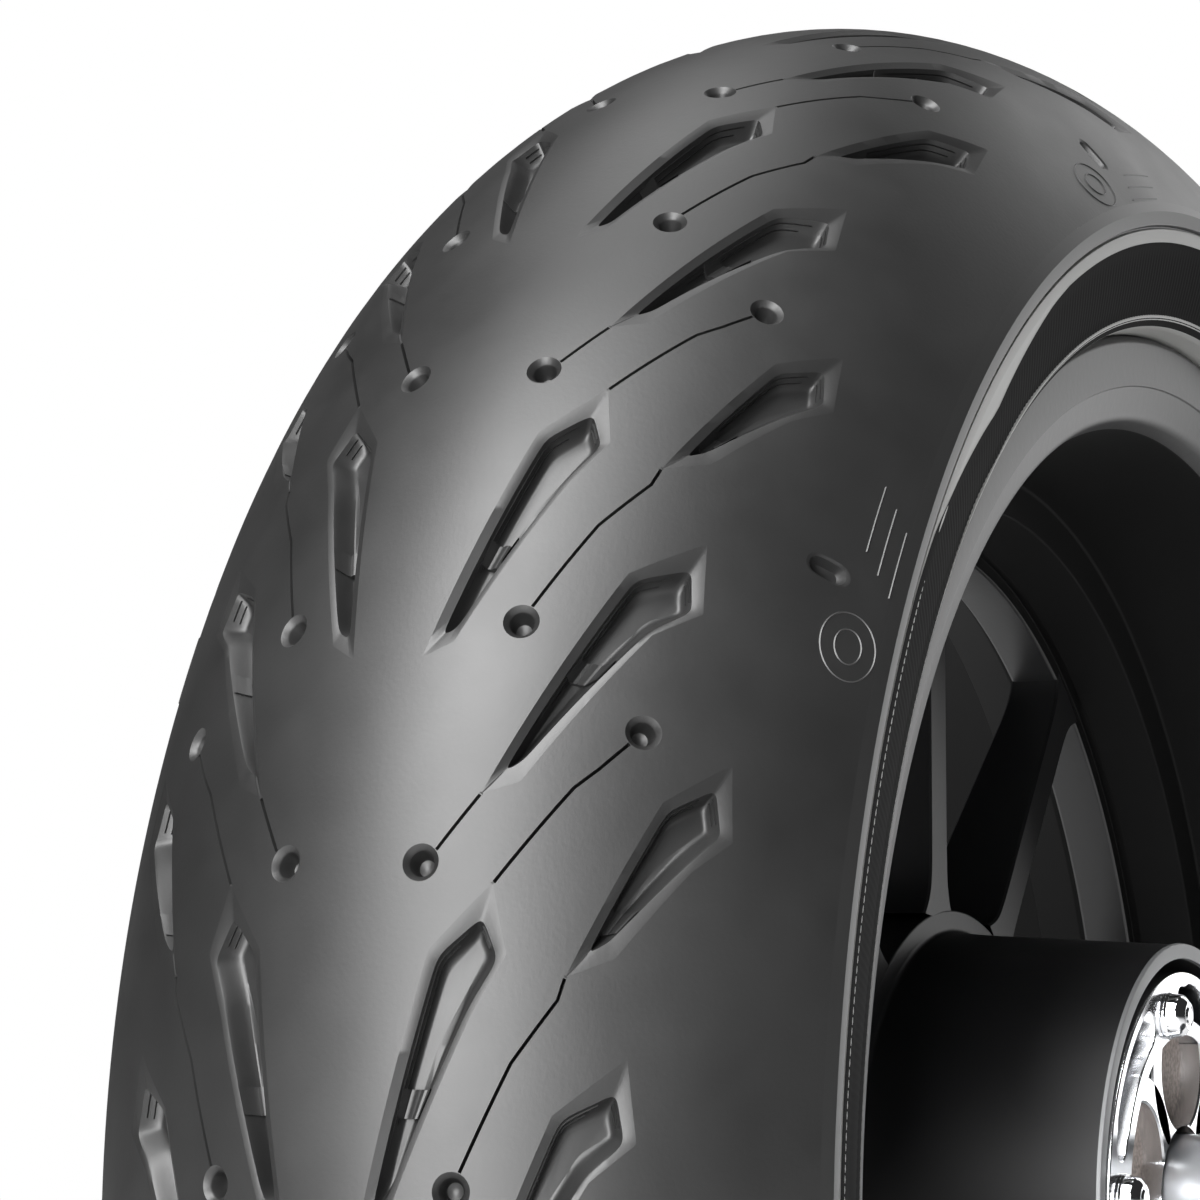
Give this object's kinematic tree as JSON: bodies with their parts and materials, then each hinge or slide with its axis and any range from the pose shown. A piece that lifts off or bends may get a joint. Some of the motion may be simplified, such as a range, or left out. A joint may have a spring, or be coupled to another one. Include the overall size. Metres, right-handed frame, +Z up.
{
  "type": "motorcycle tire",
  "caption": "Rear motorcycle tyre with dagger-shaped grooves and round dots, on a dark spoked cast wheel with hub, drive flange, bearings and hollow axle.",
  "frame": {"origin": "centre of the wheel, on the axle's axis in the tyre's middle plane", "axes": "+Y along the axle from the drive flange towards the brake disc seat, +Z up, -X the front of the wheel as first seen"},
  "size_m": [0.6319, 0.277, 0.632],
  "materials": {
    "tread rubber": "matte, satin where scrubbed",
    "base rubber": "matte",
    "belt wire": "brass-plated cord in rubber",
    "ply cord": "rubber-dipped aramid and polyester cord",
    "liner rubber": "smooth butyl",
    "sidewall rubber": "moulded, low sheen",
    "bead wire": "bronze-plated steel wire",
    "rim paint": "satin dark grey powder coat on cast aluminium",
    "weight metal": "dull zinc",
    "machined aluminium": "turned and polished",
    "chrome": "bright plated",
    "bearing steel": "ground",
    "ball steel": "polished",
    "cage brass": "pressed",
    "seal rubber": "red-brown nitrile",
    "seal black": "black",
    "axle steel": "zinc plated",
    "valve brass": "turned, lacquered",
    "cap plastic": "moulded"
  },
  "bodies": {
    "axle": {"axle": "axle steel", "collar_left": "machined aluminium", "collar_right": "machined aluminium", "axle_washer": "axle steel", "axle_nut": "axle steel", "bearing_inner_left": "bearing steel", "bearing_inner_right": "bearing steel", "bearing_spacer": "machined aluminium"},
    "wheel": {"tread_cap": "tread rubber", "tread_base": "base rubber", "steel_belt": "belt wire", "carcass_ply": "ply cord", "inner_liner": "liner rubber", "sidewall_left": "sidewall rubber", "sidewall_right": "sidewall rubber", "bead_core_left": "bead wire", "bead_core_right": "bead wire", "bead_filler_left": "base rubber", "bead_filler_right": "base rubber", "chafer_left": "sidewall rubber", "chafer_right": "sidewall rubber", "rim": "rim paint", "spokes": "rim paint", "hub_shell": "rim paint", "balance_weights": "weight metal", "drive_flange": "machined aluminium", "flange_bolts": "chrome", "bearing_outer_left": "bearing steel", "bearing_outer_right": "bearing steel", "seal_left": "seal rubber", "seal_right": "seal rubber", "valve_stem": "valve brass", "valve_seal": "seal black", "valve_nut": "valve brass", "valve_core": "valve brass"},
    "cage_left": {"bearing_balls_left": "ball steel", "bearing_cage_left": "cage brass"},
    "cage_right": {"bearing_balls_right": "ball steel", "bearing_cage_right": "cage brass"},
    "valve_pin": {"valve_pin": "axle steel"},
    "valve_cap": {"valve_cap": "cap plastic"}
  },
  "joints": [
    {"name": "wheel_spin", "type": "hinge", "parent": "axle", "child": "wheel", "pos_m": [0, 0, 0], "axis": [0, 1, 0], "continuous": true},
    {"name": "cage_left_spin", "type": "hinge", "parent": "axle", "child": "cage_left", "pos_m": [0, -0.0485, 0], "axis": [0, 1, 0], "continuous": true},
    {"name": "cage_right_spin", "type": "hinge", "parent": "axle", "child": "cage_right", "pos_m": [0, 0.0455, 0], "axis": [0, 1, 0], "continuous": true},
    {"name": "valve_cap_pull", "type": "slide", "parent": "wheel", "child": "valve_cap", "axis": [-0.374, 0, 0.9274], "range_m": [0, 0.014]},
    {"name": "valve_pin_press", "type": "slide", "parent": "wheel", "child": "valve_pin", "axis": [0.374, 0, -0.9274], "range_m": [0, 0.0015], "stiffness_N_per_m": 400, "springref_m": -0.002}
  ],
  "couplings": [
    {"joint": "cage_left_spin", "follows": "wheel_spin", "ratio": 0.6},
    {"joint": "cage_right_spin", "follows": "wheel_spin", "ratio": 0.6}
  ]
}
